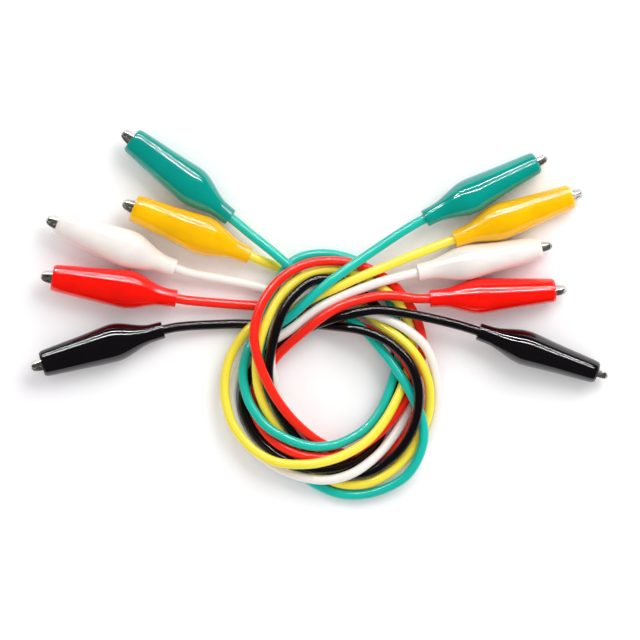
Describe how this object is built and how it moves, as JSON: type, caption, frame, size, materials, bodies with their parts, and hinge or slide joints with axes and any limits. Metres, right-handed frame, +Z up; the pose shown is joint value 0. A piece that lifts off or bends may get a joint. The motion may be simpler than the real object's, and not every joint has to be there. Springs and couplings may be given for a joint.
{
  "type": "alligator clip test lead hank",
  "caption": "Coiled hank of flexible insulated test leads with an alligator clip in a vinyl boot at each end; each clip's upper jaw swings open on its rivet.",
  "frame": {"origin": "centre of the hank's footprint, on the table it lies on", "axes": "+X to the right as the hank is seen from above with its clips at the far side, +Y towards the clips' side, +Z up from the table"},
  "size_m": [0.1654, 0.1062, 0.0134],
  "materials": {
    "jaw_metal": "bright nickel-plated stamped steel",
    "rivet_metal": "nickel-plated steel",
    "spring_wire": "drawn spring wire",
    "copper": "bare stranded copper, density of brass stands in",
    "green_boot_vinyl": "dipped vinyl, glossy",
    "green_cable_pvc": "smooth PVC jacket",
    "yellow_boot_vinyl": "dipped vinyl, glossy",
    "yellow_cable_pvc": "smooth PVC jacket",
    "white_boot_vinyl": "dipped vinyl, glossy",
    "white_cable_pvc": "smooth PVC jacket",
    "red_boot_vinyl": "dipped vinyl, glossy",
    "red_cable_pvc": "smooth PVC jacket",
    "black_boot_vinyl": "dipped vinyl, glossy",
    "black_cable_pvc": "smooth PVC jacket"
  },
  "bodies": {
    "hank": {"green_right_lower_jaw": "jaw_metal", "green_right_pivot_rivet": "rivet_metal", "green_right_spring": "spring_wire", "green_right_boot": "green_boot_vinyl", "green_left_lower_jaw": "jaw_metal", "green_left_pivot_rivet": "rivet_metal", "green_left_spring": "spring_wire", "green_left_boot": "green_boot_vinyl", "green_jacket": "green_cable_pvc", "green_conductor": "copper", "yellow_right_lower_jaw": "jaw_metal", "yellow_right_pivot_rivet": "rivet_metal", "yellow_right_spring": "spring_wire", "yellow_right_boot": "yellow_boot_vinyl", "yellow_left_lower_jaw": "jaw_metal", "yellow_left_pivot_rivet": "rivet_metal", "yellow_left_spring": "spring_wire", "yellow_left_boot": "yellow_boot_vinyl", "yellow_jacket": "yellow_cable_pvc", "yellow_conductor": "copper", "white_right_lower_jaw": "jaw_metal", "white_right_pivot_rivet": "rivet_metal", "white_right_spring": "spring_wire", "white_right_boot": "white_boot_vinyl", "white_left_lower_jaw": "jaw_metal", "white_left_pivot_rivet": "rivet_metal", "white_left_spring": "spring_wire", "white_left_boot": "white_boot_vinyl", "white_jacket": "white_cable_pvc", "white_conductor": "copper", "red_right_lower_jaw": "jaw_metal", "red_right_pivot_rivet": "rivet_metal", "red_right_spring": "spring_wire", "red_right_boot": "red_boot_vinyl", "red_left_lower_jaw": "jaw_metal", "red_left_pivot_rivet": "rivet_metal", "red_left_spring": "spring_wire", "red_left_boot": "red_boot_vinyl", "red_jacket": "red_cable_pvc", "red_conductor": "copper", "black_right_lower_jaw": "jaw_metal", "black_right_pivot_rivet": "rivet_metal", "black_right_spring": "spring_wire", "black_right_boot": "black_boot_vinyl", "black_left_lower_jaw": "jaw_metal", "black_left_pivot_rivet": "rivet_metal", "black_left_spring": "spring_wire", "black_left_boot": "black_boot_vinyl", "black_jacket": "black_cable_pvc", "black_conductor": "copper"},
    "green_right_jaw": {"green_right_upper_jaw": "jaw_metal"},
    "green_left_jaw": {"green_left_upper_jaw": "jaw_metal"},
    "yellow_right_jaw": {"yellow_right_upper_jaw": "jaw_metal"},
    "yellow_left_jaw": {"yellow_left_upper_jaw": "jaw_metal"},
    "white_right_jaw": {"white_right_upper_jaw": "jaw_metal"},
    "white_left_jaw": {"white_left_upper_jaw": "jaw_metal"},
    "red_right_jaw": {"red_right_upper_jaw": "jaw_metal"},
    "red_left_jaw": {"red_left_upper_jaw": "jaw_metal"},
    "black_right_jaw": {"black_right_upper_jaw": "jaw_metal"},
    "black_left_jaw": {"black_left_upper_jaw": "jaw_metal"}
  },
  "joints": [
    {"name": "green_right_jaw_hinge", "type": "hinge", "parent": "hank", "child": "green_right_jaw", "pos_m": [0.05146, 0.03798, 0.00471], "axis": [0.4024, -0.8495, -0.3412], "range_deg": [0, 22], "stiffness_Nm_per_rad": 0.004, "deforming": ["green_right_spring", "green_right_boot"]},
    {"name": "green_left_jaw_hinge", "type": "hinge", "parent": "hank", "child": "green_left_jaw", "pos_m": [-0.04412, 0.04244, 0.0054], "axis": [0.2247, 0.3611, -0.9051], "range_deg": [0, 22], "stiffness_Nm_per_rad": 0.004, "deforming": ["green_left_spring", "green_left_boot"]},
    {"name": "yellow_right_jaw_hinge", "type": "hinge", "parent": "hank", "child": "yellow_right_jaw", "pos_m": [0.06096, 0.02956, 0.0043], "axis": [0.3066, -0.7034, 0.6412], "range_deg": [0, 22], "stiffness_Nm_per_rad": 0.004, "deforming": ["yellow_right_spring", "yellow_right_boot"]},
    {"name": "yellow_left_jaw_hinge", "type": "hinge", "parent": "hank", "child": "yellow_left_jaw", "pos_m": [-0.04196, 0.02586, 0.0054], "axis": [0.1179, 0.4086, -0.9051], "range_deg": [0, 22], "stiffness_Nm_per_rad": 0.004, "deforming": ["yellow_left_spring", "yellow_left_boot"]},
    {"name": "white_right_jaw_hinge", "type": "hinge", "parent": "hank", "child": "white_right_jaw", "pos_m": [0.05155, 0.01666, 0.00472], "axis": [0.1749, -0.9501, -0.2582], "range_deg": [0, 22], "stiffness_Nm_per_rad": 0.004, "deforming": ["white_right_spring", "white_right_boot"]},
    {"name": "white_left_jaw_hinge", "type": "hinge", "parent": "hank", "child": "white_left_jaw", "pos_m": [-0.06349, 0.02168, 0.00547], "axis": [0.1369, 0.483, -0.8648], "range_deg": [0, 22], "stiffness_Nm_per_rad": 0.004, "deforming": ["white_left_spring", "white_left_boot"]},
    {"name": "red_right_jaw_hinge", "type": "hinge", "parent": "hank", "child": "red_right_jaw", "pos_m": [0.05537, 0.00602, 0.00457], "axis": [0.0241, -0.8664, -0.4988], "range_deg": [0, 22], "stiffness_Nm_per_rad": 0.004, "deforming": ["red_right_spring", "red_right_boot"]},
    {"name": "red_left_jaw_hinge", "type": "hinge", "parent": "hank", "child": "red_left_jaw", "pos_m": [-0.06434, 0.00843, 0.0054], "axis": [0.0245, 0.4246, -0.9051], "range_deg": [0, 22], "stiffness_Nm_per_rad": 0.004, "deforming": ["red_left_spring", "red_left_boot"]},
    {"name": "black_right_jaw_hinge", "type": "hinge", "parent": "hank", "child": "black_right_jaw", "pos_m": [0.068, -0.01278, 0.00464], "axis": [-0.3334, -0.9388, -0.0869], "range_deg": [0, 22], "stiffness_Nm_per_rad": 0.004, "deforming": ["black_right_spring", "black_right_boot"]},
    {"name": "black_left_jaw_hinge", "type": "hinge", "parent": "hank", "child": "black_left_jaw", "pos_m": [-0.06757, -0.01104, 0.00547], "axis": [-0.1798, 0.4688, -0.8648], "range_deg": [0, 22], "stiffness_Nm_per_rad": 0.004, "deforming": ["black_left_spring", "black_left_boot"]}
  ]
}
